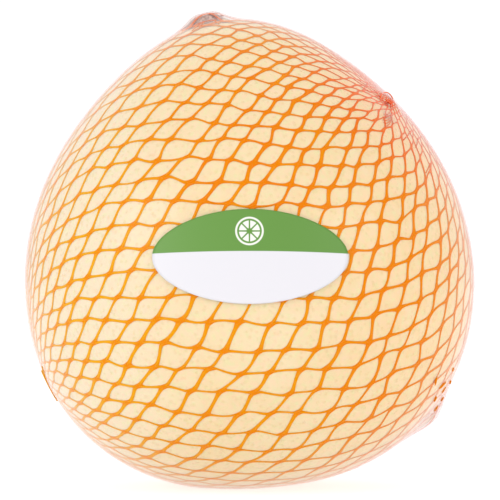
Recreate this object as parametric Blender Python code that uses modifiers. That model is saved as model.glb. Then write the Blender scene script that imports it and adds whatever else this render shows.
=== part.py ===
"""A pomelo as it is sold: the fruit in an orange net, under clear shrink film with an oval label.

Metres, +Z up. The label faces -Y, and the fruit stands on its base with its neck a little to
the left. The origin is on the ground, in the middle of the wrapped pomelo.
"""
import math

import bmesh
import bpy
import numpy as np
from mathutils import Matrix, Vector

MM = 0.001

# The fruit's skin is a distance from its centre, by the angle from the neck in degrees.
WAIST_RADIUS = 69.7 * MM
NECK_RISE = 9.4 * MM
NECK_SPREAD = 30.0
BELLY_RISE = 7.05 * MM
BELLY_ANGLE = 135.0
BELLY_SPREAD = 45.0
CENTRE_HEIGHT = 75.0 * MM

# How finely the pieces are divided.
FRUIT_AROUND = 42
FRUIT_ALONG = 22
FILM_SUBDIVISIONS = 4
LABEL_COLUMNS = 12
LABEL_ROWS = 8
TIE_RINGS = 7
ROUND_SEGMENTS = 16

# The stub of the stem, a short cone with a rounded top.
STUB_BASE_RADIUS = 4.2 * MM
STUB_TOP_RADIUS = 2.5 * MM
STUB_HEIGHT = 2.6 * MM
STUB_ROOT = 4.0 * MM
STUB_ROUNDING = 0.6 * MM

# The wraps lie at these heights above the skin.
NET_LIFT = 1.3 * MM
FILM_LIFT = 2.8 * MM
LABEL_LIFT = 3.1 * MM
FILM_THICKNESS = 0.4 * MM
LABEL_THICKNESS = 0.35 * MM

# The wraps are drawn up over the stub, and into a corner at the lower right.
TENT_RISE = 3.0 * MM
TENT_SPREAD = 4.5
CORNER_RISE = 3.0 * MM
CORNER_SPREAD = 6.0

# The net is a tube of diamond cells, larger than the real ones, gathered at both ends.
# Each row of crossings is turned from the last by a share of a cell, which grows to the tail.
NET_AROUND = 30
NET_ROWS = 20
NET_STRAND = 1.2 * MM
NET_LARGEST_INSET = 0.5
NET_END_ANGLE = 7.0
NET_SHIFT_AT_TIE = 0.06
NET_SHIFT_AT_TAIL = 0.88
NET_START = 0.15
NET_WARP = 1.7
TIE_RADIUS = 11.0 * MM
TIE_THICKNESS = 1.3 * MM
TIE_PLEATS = 12
PLEAT_DEPTH = 0.08

# The label is an oval, and the film has one round vent at the back.
LABEL_WIDTH = 62.0 * MM
LABEL_HEIGHT = 29.2 * MM
LABEL_RISE = 2.4 * MM
LABEL_SHIFT = 0.8 * MM
VENT_RADIUS = 3.0 * MM
VENT_CUT_DEPTH = 4.0 * MM

# The meshes are finer where a wrap bends sharply: over the stub, at the corner and at the base.
TENT_REACH = 15.0 * MM
BASE_REACH = 3.2 * MM


def direction(clock, toward=0.0):
    """The direction of a clock angle in degrees seen from the front, leaning toward the viewer."""
    angle = math.radians(clock)
    across = math.sqrt(1.0 - toward ** 2)
    return Vector((math.sin(angle) * across, -toward, math.cos(angle) * across))


NECK = direction(355.0)
STEM = direction(350.0)
CORNER = direction(130.0, -0.05)
NET_TIE = direction(41.7, 0.297)
NET_TAIL = direction(240.3, -0.15)
VENT = direction(90.0, -0.98)


def degrees_between(first, second):
    return math.degrees(first.angle(second))


def bell(angle, spread):
    return math.exp(-((angle / spread) ** 2))


def skin_radius(way):
    """The distance from the centre to the skin in one direction."""
    angle = degrees_between(way, NECK)
    neck = NECK_RISE * bell(angle, NECK_SPREAD)
    belly = BELLY_RISE * bell(angle - BELLY_ANGLE, BELLY_SPREAD)
    return WAIST_RADIUS + neck + belly


def skin_point(way):
    """The skin's point in one direction, flattened at the base."""
    point = way * skin_radius(way)
    point.z = max(point.z, FILM_LIFT - CENTRE_HEIGHT)
    return point


def wrap_point(way, lift):
    """The point of a wrap in one direction, at its lift above the skin."""
    tent = TENT_RISE * bell(degrees_between(way, STEM), TENT_SPREAD)
    corner = CORNER_RISE * bell(degrees_between(way, CORNER), CORNER_SPREAD)
    point = way * (skin_radius(way) + lift + tent + corner)
    point.z = max(point.z, FILM_LIFT - lift - CENTRE_HEIGHT)
    return point


def material(name, colour, roughness, alpha=1.0):
    """A Principled material with the piece's colour, roughness and clearness."""
    finish = bpy.data.materials.new(name)
    finish.use_nodes = True
    shader = finish.node_tree.nodes["Principled BSDF"]
    shader.inputs["Base Color"].default_value = (*colour, 1.0)
    shader.inputs["Roughness"].default_value = roughness
    shader.inputs["Alpha"].default_value = alpha
    return finish


def new_object(name, bm, collection):
    """A smooth-shaded object made from a bmesh, which is freed."""
    mesh = bpy.data.meshes.new(name)
    bm.to_mesh(mesh)
    bm.free()
    mesh.shade_smooth()
    obj = bpy.data.objects.new(name, mesh)
    collection.objects.link(obj)
    return obj


def apply_modifiers(obj):
    """Replace the object's mesh by the one that its modifiers give."""
    graph = bpy.context.evaluated_depsgraph_get()
    mesh = bpy.data.meshes.new_from_object(obj.evaluated_get(graph))
    obj.modifiers.clear()
    obj.data = mesh


def join(obj, tools):
    """Join the objects of a collection to obj by one Boolean union, and remove them."""
    union = obj.modifiers.new("Join", "BOOLEAN")
    union.operation = "UNION"
    union.operand_type = "COLLECTION"
    union.collection = tools
    union.solver = "EXACT"
    apply_modifiers(obj)
    for tool in list(tools.objects):
        bpy.data.objects.remove(tool)
    bpy.data.collections.remove(tools)


def new_collection(name):
    collection = bpy.data.collections.new(name)
    bpy.context.scene.collection.children.link(collection)
    return collection


def edges_where(bm, test):
    return [edge for edge in bm.edges if test((edge.verts[0].co + edge.verts[1].co) / 2)]


def near_tent(point):
    reaches = [(point - way * point.length).length for way in (STEM, CORNER)]
    return min(reaches) < TENT_REACH


def near_base(point):
    return point.z < BASE_REACH - CENTRE_HEIGHT


def turned_to(way):
    """The rotation that takes +Z to a direction."""
    return Vector((0.0, 0.0, 1.0)).rotation_difference(way).to_matrix().to_4x4()


def make_pomelo(collection):
    """The fruit: a pear-shaped ball with the stub of its stem, in one piece."""
    bm = bmesh.new()
    bmesh.ops.create_uvsphere(bm, u_segments=FRUIT_AROUND, v_segments=FRUIT_ALONG, radius=1.0,
                              matrix=turned_to(NECK))
    for vert in bm.verts:
        vert.co = skin_point(vert.co.normalized())
    fruit = new_object("pomelo", bm, collection)
    tools = new_collection("fruit_tools")
    make_stub(tools)
    join(fruit, tools)
    fruit.data.materials.clear()
    fruit.data.materials.append(material("peel", (0.93, 0.78, 0.40), 0.45))
    return fruit


def make_stub(collection):
    """The stub: a cone rooted in the fruit, its top edge rounded."""
    length = STUB_HEIGHT + STUB_ROOT
    middle = skin_radius(STEM) + (STUB_HEIGHT - STUB_ROOT) / 2
    place = turned_to(STEM) @ Matrix.Translation((0.0, 0.0, middle))
    bm = bmesh.new()
    bmesh.ops.create_cone(bm, cap_ends=True, segments=ROUND_SEGMENTS, radius1=STUB_BASE_RADIUS,
                          radius2=STUB_TOP_RADIUS, depth=length, matrix=place)
    top = max(bm.faces, key=lambda face: face.calc_center_median().dot(STEM))
    bmesh.ops.bevel(bm, geom=list(top.edges), offset=STUB_ROUNDING, segments=2, affect="EDGES")
    return new_object("stub", bm, collection)


def net_way(around, row):
    """The direction of a crossing of the net, in rows from the tie to the tail."""
    share = row / (NET_ROWS - 1)
    turn = NET_SHIFT_AT_TAIL - NET_SHIFT_AT_TIE
    shift = row * (NET_SHIFT_AT_TIE + turn * share / 2)
    end = math.radians(NET_END_ANGLE)
    polar = end + (math.pi - 2 * end) * share
    azimuth = 2 * math.pi * (around + shift + NET_START) / NET_AROUND
    axis = -NET_TAIL
    side = axis.cross(Vector((0.0, 0.0, 1.0))).normalized()
    other = axis.cross(side)
    ring = side * math.cos(azimuth) + other * math.sin(azimuth)
    way = axis * math.cos(polar) + ring * math.sin(polar)
    bend = max(0.0, math.cos(polar)) ** NET_WARP
    return (way + (NET_TIE - axis) * bend).normalized()


def make_net_cells():
    """The net's cells as faces on the body, with more points where the net bends sharply."""
    bm = bmesh.new()
    rows = [[bm.verts.new(wrap_point(net_way(i, j), NET_LIFT)) for i in range(NET_AROUND)]
            for j in range(NET_ROWS)]
    for j in range(NET_ROWS - 2):
        for i in range(NET_AROUND):
            bm.faces.new((rows[j][i], rows[j + 1][i], rows[j + 2][i - 1], rows[j + 1][i - 1]))
    bmesh.ops.bisect_edges(bm, edges=edges_where(bm, near_tent), cuts=3)
    bmesh.ops.bisect_edges(bm, edges=edges_where(bm, near_base), cuts=1)
    bmesh.ops.recalc_face_normals(bm, faces=bm.faces)
    bm.verts.index_update()
    return bm


def hole_outline(cell):
    """A cell's hole: the cell drawn in toward its middle by half a strand on every side."""
    middle = cell.calc_center_median()
    reach = 2 * cell.calc_area() / cell.calc_perimeter()
    share = min(NET_STRAND / 2 / reach, NET_LARGEST_INSET)
    return [wrap_point(corner.co.lerp(middle, share).normalized(), NET_LIFT) for corner in cell.verts]


def make_net(collection):
    """The net: strands of diamond section between the cells, with a gathered knot at each end."""
    cells = make_net_cells()
    bm = bmesh.new()
    ways = [vert.co.normalized() for vert in cells.verts]
    outer = [bm.verts.new(wrap_point(way, NET_LIFT + NET_STRAND / 2)) for way in ways]
    inner = [bm.verts.new(wrap_point(way, NET_LIFT - NET_STRAND / 2)) for way in ways]
    for cell in cells.faces:
        ring = [vert.index for vert in cell.verts]
        hole = [bm.verts.new(point) for point in hole_outline(cell)]
        for k, here in enumerate(ring):
            before = ring[k - 1]
            bm.faces.new((outer[before], outer[here], hole[k], hole[k - 1]))
            bm.faces.new((inner[here], inner[before], hole[k - 1], hole[k]))
    for edge in cells.edges:
        if edge.is_boundary:
            first, second = (vert.index for vert in edge.verts)
            bm.faces.new((outer[first], outer[second], inner[second], inner[first]))
    cells.free()
    bmesh.ops.recalc_face_normals(bm, faces=bm.faces)
    net = new_object("net", bm, collection)
    tools = new_collection("net_tools")
    make_tie("tie", NET_TIE, tools)
    make_tie("tail", NET_TAIL, tools)
    join(net, tools)
    net.data.materials.clear()
    net.data.materials.append(material("net_plastic", (0.95, 0.33, 0.02), 0.40))
    return net


def make_tie(name, way, collection):
    """The pleated knot that gathers one end of the net."""
    bm = bmesh.new()
    bmesh.ops.create_uvsphere(bm, u_segments=2 * TIE_PLEATS, v_segments=TIE_RINGS, radius=1.0)
    turn = turned_to(way)
    middle = skin_radius(way)
    for vert in bm.verts:
        pleat = 1.0 + PLEAT_DEPTH * math.cos(TIE_PLEATS * math.atan2(vert.co.y, vert.co.x))
        flat = Vector((vert.co.x, vert.co.y, 0.0)) * TIE_RADIUS * pleat
        toward = (turn @ (flat + Vector((0.0, 0.0, middle)))).normalized()
        vert.co = wrap_point(toward, NET_LIFT + vert.co.z * TIE_THICKNESS / 2)
    return new_object(name, bm, collection)


def make_film(collection, cutters):
    """The shrink film: a thin shell outside the net, with a small vent at the back."""
    bm = bmesh.new()
    bmesh.ops.create_icosphere(bm, subdivisions=FILM_SUBDIVISIONS, radius=WAIST_RADIUS)
    for vert in bm.verts:
        vert.co = wrap_point(vert.co.normalized(), FILM_LIFT)
    for test in (near_tent, near_base):
        bmesh.ops.subdivide_edges(bm, edges=edges_where(bm, test), cuts=1, use_grid_fill=True)
    bmesh.ops.triangulate(bm, faces=bm.faces)
    for vert in bm.verts:
        vert.co = wrap_point(vert.co.normalized(), FILM_LIFT)
    film = new_object("film", bm, collection)
    shell = film.modifiers.new("Shell", "SOLIDIFY")
    shell.thickness = FILM_THICKNESS
    shell.offset = -1.0
    vent = film.modifiers.new("Vent", "BOOLEAN")
    vent.operation = "DIFFERENCE"
    vent.solver = "EXACT"
    vent.object = make_vent_cutter(cutters)
    film.data.materials.append(material("clear_film", (0.98, 0.96, 0.94), 0.10, 0.2))
    return film


def make_vent_cutter(collection):
    """The cylinder that cuts the film's vent."""
    place = turned_to(VENT) @ Matrix.Translation((0.0, 0.0, skin_radius(VENT) + FILM_LIFT))
    bm = bmesh.new()
    bmesh.ops.create_cone(bm, cap_ends=True, segments=ROUND_SEGMENTS, radius1=VENT_RADIUS,
                          radius2=VENT_RADIUS, depth=VENT_CUT_DEPTH, matrix=place)
    cutter = new_object("vent_cutter", bm, collection)
    cutter.hide_render = True
    cutter.display_type = "WIRE"
    return cutter


def make_label(collection):
    """The oval sticker, laid on the front of the film."""
    bm = bmesh.new()
    bmesh.ops.create_grid(bm, x_segments=LABEL_COLUMNS, y_segments=LABEL_ROWS, size=1.0)
    distance = WAIST_RADIUS + LABEL_LIFT
    for vert in bm.verts:
        x, y = vert.co.x, vert.co.y
        across = x * math.sqrt(1.0 - y * y / 2) * LABEL_WIDTH / 2 + LABEL_SHIFT
        up = y * math.sqrt(1.0 - x * x / 2) * LABEL_HEIGHT / 2 + LABEL_RISE
        way = Vector((math.tan(across / distance), -1.0, math.tan(up / distance)))
        vert.co = wrap_point(way.normalized(), LABEL_LIFT)
    label = new_object("label", bm, collection)
    sheet = label.modifiers.new("Sheet", "SOLIDIFY")
    sheet.thickness = LABEL_THICKNESS
    sheet.offset = 1.0
    label.data.materials.append(material("label_print", (0.14, 0.37, 0.07), 0.35))
    return label


def stand_on_ground(base, parts):
    """Move the base so that the parts' box stands on the ground, centred on the origin."""
    graph = bpy.context.evaluated_depsgraph_get()
    points = []
    for part in parts:
        shape = part.evaluated_get(graph)
        points += [part.matrix_world @ vert.co for vert in shape.data.vertices]
    points = np.array(points)
    low, high = points.min(axis=0), points.max(axis=0)
    base.location = (-(low[0] + high[0]) / 2, -(low[1] + high[1]) / 2, -low[2])


def main():
    for obj in list(bpy.data.objects):
        bpy.data.objects.remove(obj)
    parts_collection = new_collection("wrapped_pomelo")
    cutters = new_collection("cutters")
    base = bpy.data.objects.new("base", None)
    parts_collection.objects.link(base)
    parts = [make_pomelo(parts_collection), make_net(parts_collection),
             make_film(parts_collection, cutters), make_label(parts_collection)]
    for piece in parts + list(cutters.objects):
        piece.parent = base
    stand_on_ground(base, parts)


main()
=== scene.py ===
"""The looks of a wrapped pomelo: peel, orange net, clear shrink film and an oval label.

Everything is built in metres round the fruit's centre, and the fruit's outline is that of the
solids.
"""
import math
from collections import namedtuple

import bpy
import numpy as np
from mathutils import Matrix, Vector, noise


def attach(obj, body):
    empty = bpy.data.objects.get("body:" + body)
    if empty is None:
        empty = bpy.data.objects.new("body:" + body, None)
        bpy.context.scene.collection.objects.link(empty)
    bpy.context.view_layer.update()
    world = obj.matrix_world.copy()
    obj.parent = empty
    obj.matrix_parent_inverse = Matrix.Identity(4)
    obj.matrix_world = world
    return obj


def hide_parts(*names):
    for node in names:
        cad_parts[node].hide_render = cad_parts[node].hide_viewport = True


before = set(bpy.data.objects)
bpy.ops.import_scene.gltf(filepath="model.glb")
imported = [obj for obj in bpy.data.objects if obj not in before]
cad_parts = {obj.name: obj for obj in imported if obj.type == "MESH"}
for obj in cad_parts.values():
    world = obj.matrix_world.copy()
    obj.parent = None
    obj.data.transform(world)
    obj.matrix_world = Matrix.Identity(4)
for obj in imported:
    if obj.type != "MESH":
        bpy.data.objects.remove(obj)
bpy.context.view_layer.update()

MM = 0.001

# The outline of the fruit, as the solids have it: lengths in metres, angles in degrees.
CENTRE = np.array((-0.59, 0.42, 75.0)) * MM
WAIST_RADIUS = 69.7 * MM
NECK_RISE = 9.4 * MM
NECK_SPREAD = 30.0
BELLY_RISE = 7.05 * MM
BELLY_ANGLE = 135.0
BELLY_SPREAD = 45.0

# How far, and how widely in degrees, the wrapping stands out over the stub, at the corner, over
# the knot and over the net's two ends.
TENT_RISE = 3.5 * MM
TENT_SPREAD = 4.8
CORNER_RISE = 3.0 * MM
CORNER_SPREAD = 6.0
KNOT_RISE = 1.6 * MM
KNOT_SPREAD = 3.4
END_RISE = 0.5 * MM

# How far, and how widely in degrees, the knot draws the net together.
PINCH_PULL = 0.657
PINCH_SPREAD = 18.6

# The layers, as heights above the solid fruit's skin, and how far the film stays off the floor.
FILM_LIFT = 2.75 * MM
PEEL_LIFT = 2.1 * MM
NET_LIFT = 2.25 * MM
LABEL_LIFT = 2.95 * MM
FLOOR_GAP = 0.05 * MM
FILM_THICKNESS = 0.06 * MM
LABEL_THICKNESS = 0.14 * MM

# The photograph's frame: its width in pixels, and the size that one pixel shows.
FRAME_PIXELS = 500
PIXEL = 0.3356 * MM
FRAME_WIDTH = FRAME_PIXELS * PIXEL

# The camera: its elevation is in degrees.
CAMERA_DISTANCE = 1200 * MM
CAMERA_ELEVATION = 0.0
CAMERA_AIM = Vector((0.17, 0.0, 79.2)) * MM
SENSOR_WIDTH = 36.0

SEED = 7


def unit(vectors):
    """The vectors brought to length 1."""
    return vectors / np.linalg.norm(vectors, axis=-1, keepdims=True)


def direction(clock, toward=0.0):
    """The direction of a clock angle in degrees seen from the front, leaning toward the viewer."""
    angle = math.radians(clock)
    across = math.sqrt(1.0 - toward ** 2)
    return np.array((math.sin(angle) * across, -toward, math.cos(angle) * across))


# Which way the named places lie from the fruit's centre.
NECK = direction(355.0)
STEM = direction(350.0)
CORNER = direction(130.0, -0.05)
NET_MOUTH = direction(40.3, -0.102)
NET_PINCH = direction(41.4, 0.27)
NET_TAIL = direction(240.3, -0.15)
VENT = direction(90.0, -0.98)


def degrees_from(ways, axis):
    """The angle between each direction and an axis."""
    return np.degrees(np.arccos(np.clip(ways @ axis, -1.0, 1.0)))


def bell(angle, spread):
    """A bell curve: 1 in its middle, and fading out over the spread."""
    return np.exp(-((angle / spread) ** 2))


def pinched(ways):
    """The directions drawn together round the knot that pinches the net."""
    pull = PINCH_PULL * bell(degrees_from(ways, NET_PINCH), PINCH_SPREAD)
    return unit(ways + pull[..., None] * (NET_PINCH - ways))


def skin_radius(ways):
    """The distance from the centre to the solid fruit's skin in each direction."""
    angle = degrees_from(ways, NECK)
    neck = NECK_RISE * bell(angle, NECK_SPREAD)
    belly = BELLY_RISE * bell(angle - BELLY_ANGLE, BELLY_SPREAD)
    return WAIST_RADIUS + neck + belly


def corner_rise(ways):
    """How far everything stands out at the corner on the lower right."""
    return CORNER_RISE * bell(degrees_from(ways, CORNER), CORNER_SPREAD)


def wrap_rise(ways):
    """How far the net and film are drawn up over the stub and the corner."""
    tent = TENT_RISE / (1.0 + (degrees_from(ways, STEM) / TENT_SPREAD) ** 4)
    return tent + corner_rise(ways)


def film_rise(ways):
    """How far the film is drawn up, also over the net's knot and its two ends."""
    rise = wrap_rise(ways) + KNOT_RISE * bell(degrees_from(ways, NET_PINCH), KNOT_SPREAD)
    for end in (pinched(NET_MOUTH), NET_TAIL):
        rise = rise + END_RISE * bell(degrees_from(ways, end), KNOT_SPREAD)
    return rise


def layer(ways, lift, rise=0.0):
    """The points of a layer in each direction, flattened where the fruit stands."""
    points = CENTRE + ways * (skin_radius(ways) + lift + rise)[..., None]
    points[..., 2] = np.maximum(points[..., 2], FILM_LIFT - lift + FLOOR_GAP)
    return points


def side_axes(axis):
    """Two directions at right angles to an axis and to each other."""
    first = unit(np.cross(axis, (0.0, 0.0, 1.0)))
    return first, np.cross(axis, first)


def ways_round(axis, polar, azimuth):
    """Directions by their angles from an axis and round it, in radians."""
    first, second = side_axes(axis)
    ring = np.cos(azimuth)[..., None] * first + np.sin(azimuth)[..., None] * second
    return np.cos(polar)[..., None] * axis + np.sin(polar)[..., None] * ring


def rings_round(axis, polar, columns):
    """Rings of directions at angles from an axis, with both angles of each direction."""
    azimuth = 2 * np.pi * np.arange(columns) / columns
    polar, azimuth = np.meshgrid(polar, azimuth, indexing="ij")
    return ways_round(axis, polar, azimuth).reshape(-1, 3), polar, azimuth


def make_object(name, points, faces, material):
    """A smooth piece from points and faces, riding on the part's one body."""
    mesh = bpy.data.meshes.new(name)
    mesh.from_pydata(points.tolist(), [], faces)
    mesh.validate()
    mesh.shade_smooth()
    piece = bpy.data.objects.new(name, mesh)
    bpy.context.scene.collection.objects.link(piece)
    mesh.materials.append(material)
    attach(piece, "root")
    return piece


def grid_faces(rows, columns, start=0):
    """The faces between rows of points, each row closed round."""
    made = []
    for row in range(rows - 1):
        for column in range(columns):
            after = (column + 1) % columns
            low, high = start + row * columns, start + (row + 1) * columns
            made.append((low + column, high + column, high + after, low + after))
    return made


def rumple(ways, scale, seed):
    """Smooth noise between about -1 and 1 at each point, with features of the given size."""
    shift = Vector((seed, 2.3 * seed, 4.1 * seed))
    return np.array([noise.noise(Vector(way) / scale + shift) for way in ways])


# The lumps of the peel: their height, their size as a share of the radius, and their seed.
PEEL_LUMPS = ((0.22 * MM, 0.22, 3.0), (0.05 * MM, 0.06, 5.0))


def peel_lumps(ways):
    """The gentle unevenness of the peel, which the net follows."""
    return sum(height * rumple(ways, size, seed) for height, size, seed in PEEL_LUMPS)


def wobble(random, shape, limit=2.0):
    """Random draws round 0 with a spread of 1, none of them beyond the limit."""
    return random.normal(size=shape).clip(-limit, limit)


def between(random, low, high, count=None):
    """One or more random values between two limits."""
    return low + (high - low) * random.random(count)


# Materials.


def new_material(name):
    """A node material, with its tree and its Principled shader."""
    material = bpy.data.materials.new(name)
    material.use_nodes = True
    tree = material.node_tree
    return material, tree, tree.nodes["Principled BSDF"]


def add(tree, kind, inputs=None, **settings):
    """A node whose inputs are given as values or as other nodes' outputs."""
    made = tree.nodes.new(kind)
    for key, value in settings.items():
        setattr(made, key, value)
    for key, value in (inputs or {}).items():
        if isinstance(value, bpy.types.NodeSocket):
            tree.links.new(value, made.inputs[key])
        else:
            made.inputs[key].default_value = value
    return made


def place_in_mm(tree):
    """The place on the object in millimetres."""
    coordinates = add(tree, "ShaderNodeTexCoord")
    return add(tree, "ShaderNodeVectorMath", {0: coordinates.outputs["Object"], 1: (1000,) * 3},
               operation="MULTIPLY").outputs[0]


def noise_at(tree, place, size, detail=3.0):
    """Noise with features of a size in millimetres."""
    made = add(tree, "ShaderNodeTexNoise", {"Vector": place, "Scale": 1.0 / size, "Detail": detail})
    return made.outputs["Fac"]


def math_node(tree, operation, first, second=0.5):
    """The result of one calculation on two values, or on the first alone."""
    return add(tree, "ShaderNodeMath", {0: first, 1: second}, operation=operation).outputs[0]


def span(tree, value, low, high, to_low=0.0, to_high=1.0, smooth=True):
    """The value mapped from one range to another."""
    made = add(tree, "ShaderNodeMapRange",
               {"Value": value, 1: low, 2: high, 3: to_low, 4: to_high},
               interpolation_type="SMOOTHSTEP" if smooth else "LINEAR")
    return made.outputs[0]


def mix(tree, share, first, second):
    """Two colours mixed by a share."""
    made = add(tree, "ShaderNodeMix", {"Factor": share}, data_type="RGBA")
    for index, value in ((6, first), (7, second)):
        if isinstance(value, bpy.types.NodeSocket):
            tree.links.new(value, made.inputs[index])
        else:
            made.inputs[index].default_value = (*value, 1.0)
    return made.outputs[2]


def distance_from(tree, place, point):
    """The distance in millimetres from a point given in metres."""
    target = tuple(float(value) / MM for value in point)
    return add(tree, "ShaderNodeVectorMath", {0: place, 1: target},
               operation="DISTANCE").outputs["Value"]


def side_share(tree, place, start, stop, axis="X"):
    """A share that grows from 0 to 1 between two places along an axis, in millimetres."""
    along = add(tree, "ShaderNodeSeparateXYZ", {"Vector": place}).outputs[axis]
    return span(tree, along, start, stop)


# Where the colours of the sides start to change and where the change is complete: places along
# X, and along Z for the net's lower part, in millimetres. The colours at the left and right sides
# are painted light and painted shade: paler where the stronger light at the left falls, deeper at
# the right.
LIT_LEFT_SIDE = (-8.0, -56.0)
PEEL_SHADED_RIGHT_SIDE = (10.0, 55.0)
NET_SHADED_RIGHT_SIDE = (10.0, 45.0)
NET_LOWER_PART = (100.0, 55.0)

# The colours of the peel, of its oil glands and of the stub's wood. Its paler colour at the left is
# painted light, and its deeper colour at the right painted shade.
PEEL_DEEP = (0.78, 0.605, 0.345)
PEEL_LIGHT = (0.79, 0.65, 0.40)
PEEL_PAINTED_LIGHT_LEFT = (0.77, 0.66, 0.48)
PEEL_PAINTED_SHADE_RIGHT = (0.79, 0.58, 0.31)
PEEL_AT_PINCH = (0.82, 0.48, 0.25)
PEEL_AT_CORNER = (0.80, 0.46, 0.29)
PEEL_MOTTLE = (0.79, 0.68, 0.46)
PEEL_GREEN_TINT = (0.69, 0.68, 0.34)
PEEL_PINK_TINT = (0.88, 0.60, 0.42)
GLAND_BROWN = (0.78, 0.42, 0.20)
GLAND_GREEN = (0.56, 0.55, 0.22)
WOOD_DARK = (0.33, 0.18, 0.14)
WOOD_LIGHT = (0.66, 0.49, 0.44)

# The sizes of the peel's patterns, and how far its blushes and the wood reach, in millimetres.
PATCH_SIZE = 34.0
MOTTLE_SIZE = 5.0
TINT_SIZE = 1.7
GLAND_SPACING = 1.9
GLAND_HUE_SIZE = 7.0
GRAIN_SIZE = 0.9
BLUSH_START = 4.0
PINCH_BLUSH_STOP = 34.0
CORNER_BLUSH_STOP = 38.0
WOOD_EDGE = (7.4, 8.6)

# How strongly the blushes, the mottle, the tints and the glands colour the peel.
BLUSH_SHARE = 0.8
MOTTLE_SHARE = 0.4
TINT_SHARE = 0.45
GLAND_SHARE = 0.26


def peel_ground(tree, place, mottle):
    """The colour of the peel between its oil glands."""
    patches = span(tree, noise_at(tree, place, PATCH_SIZE), 0.3, 0.7)
    ground = mix(tree, patches, PEEL_DEEP, PEEL_LIGHT)
    # Painted light makes the peel paler at the left, and painted shade makes it deeper at the right.
    ground = mix(tree, side_share(tree, place, *LIT_LEFT_SIDE), ground, PEEL_PAINTED_LIGHT_LEFT)
    ground = mix(tree, side_share(tree, place, *PEEL_SHADED_RIGHT_SIDE), ground, PEEL_PAINTED_SHADE_RIGHT)
    for way, stop, blush in ((NET_PINCH, PINCH_BLUSH_STOP, PEEL_AT_PINCH),
                             (CORNER, CORNER_BLUSH_STOP, PEEL_AT_CORNER)):
        distance = distance_from(tree, place, layer(way[None], PEEL_LIFT)[0])
        share = span(tree, distance, BLUSH_START, stop, BLUSH_SHARE, 0.0)
        ground = mix(tree, share, ground, blush)
    ground = mix(tree, span(tree, mottle, 0.35, 0.75, 0.0, MOTTLE_SHARE), ground, PEEL_MOTTLE)
    tint = noise_at(tree, place, TINT_SIZE, 2.0)
    ground = mix(tree, span(tree, tint, 0.50, 0.72, 0.0, TINT_SHARE), ground, PEEL_GREEN_TINT)
    return mix(tree, span(tree, tint, 0.50, 0.28, 0.0, TINT_SHARE), ground, PEEL_PINK_TINT)


def stub_wood(tree, place):
    """The share of wood, which is 1 on the stub alone, and the wood's colour."""
    stem_top = layer(STEM[None], PEEL_LIFT)[0]
    share = span(tree, distance_from(tree, place, stem_top), *WOOD_EDGE, 1.0, 0.0)
    grain = noise_at(tree, place, GRAIN_SIZE, 6.0)
    return share, mix(tree, span(tree, grain, 0.35, 0.7), WOOD_DARK, WOOD_LIGHT)


def peel_material():
    """Pale yellow waxy peel, dotted with oil glands, with a woody stub at the stem."""
    material, tree, shader = new_material("peel")
    place = place_in_mm(tree)
    cells = add(tree, "ShaderNodeTexVoronoi",
                {"Vector": place, "Scale": 1.0 / GLAND_SPACING, "Randomness": 0.9})
    gland = span(tree, cells.outputs["Distance"], 0.16, 0.42, 1.0, 0.0)
    mottle = noise_at(tree, place, MOTTLE_SIZE)
    gland_colour = mix(tree, noise_at(tree, place, GLAND_HUE_SIZE), GLAND_BROWN, GLAND_GREEN)
    gland_share = math_node(tree, "MULTIPLY", gland, GLAND_SHARE)
    colour = mix(tree, gland_share, peel_ground(tree, place, mottle), gland_colour)
    wood_share, wood = stub_wood(tree, place)
    colour = mix(tree, wood_share, colour, wood)
    tree.links.new(colour, shader.inputs["Base Color"])
    height = math_node(tree, "SUBTRACT", math_node(tree, "MULTIPLY", mottle, 0.5), gland)
    bump = add(tree, "ShaderNodeBump", {"Height": height, "Distance": 0.12 * MM, "Strength": 0.7})
    tree.links.new(bump.outputs[0], shader.inputs["Normal"])
    shader.inputs["Roughness"].default_value = 0.5
    shader.inputs["Subsurface Weight"].default_value = 0.12
    shader.inputs["Subsurface Radius"].default_value = (1.0, 0.6, 0.25)
    shader.inputs["Subsurface Scale"].default_value = 1.5 * MM
    return material


# The net's colours: in the middle, in its lower part and at its sides, where strands cross, and
# where they are drawn together. The paler colour at the left is painted light and the deeper one
# at the right painted shade.
NET_BRIGHT = (0.75, 0.26, 0.0)
NET_DEEP = (0.74, 0.20, 0.0)
NET_BELOW = (0.75, 0.29, 0.0)
NET_PAINTED_SHADE_RIGHT = (0.74, 0.22, 0.0)
NET_PAINTED_LIGHT_LEFT = (0.76, 0.36, 0.005)
NET_CROSSED = (0.74, 0.19, 0.0)
NET_NEAR_PINCH = (0.76, 0.14, 0.0)
NET_GATHERED = (0.84, 0.13, 0.03)

# The size of the net's streaks, and the distances at which the redder colours start and are full,
# in millimetres, and how strong two of the colours are.
STREAK_SIZE = 9.0
NEAR_PINCH = (45.0, 20.0)
GATHERED = (22.0, 2.0)
DRAWN_UP = (13.0, 6.0)
DRAWN_UP_SHARE = 0.7
CROSSED_SHARE = 0.8


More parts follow.
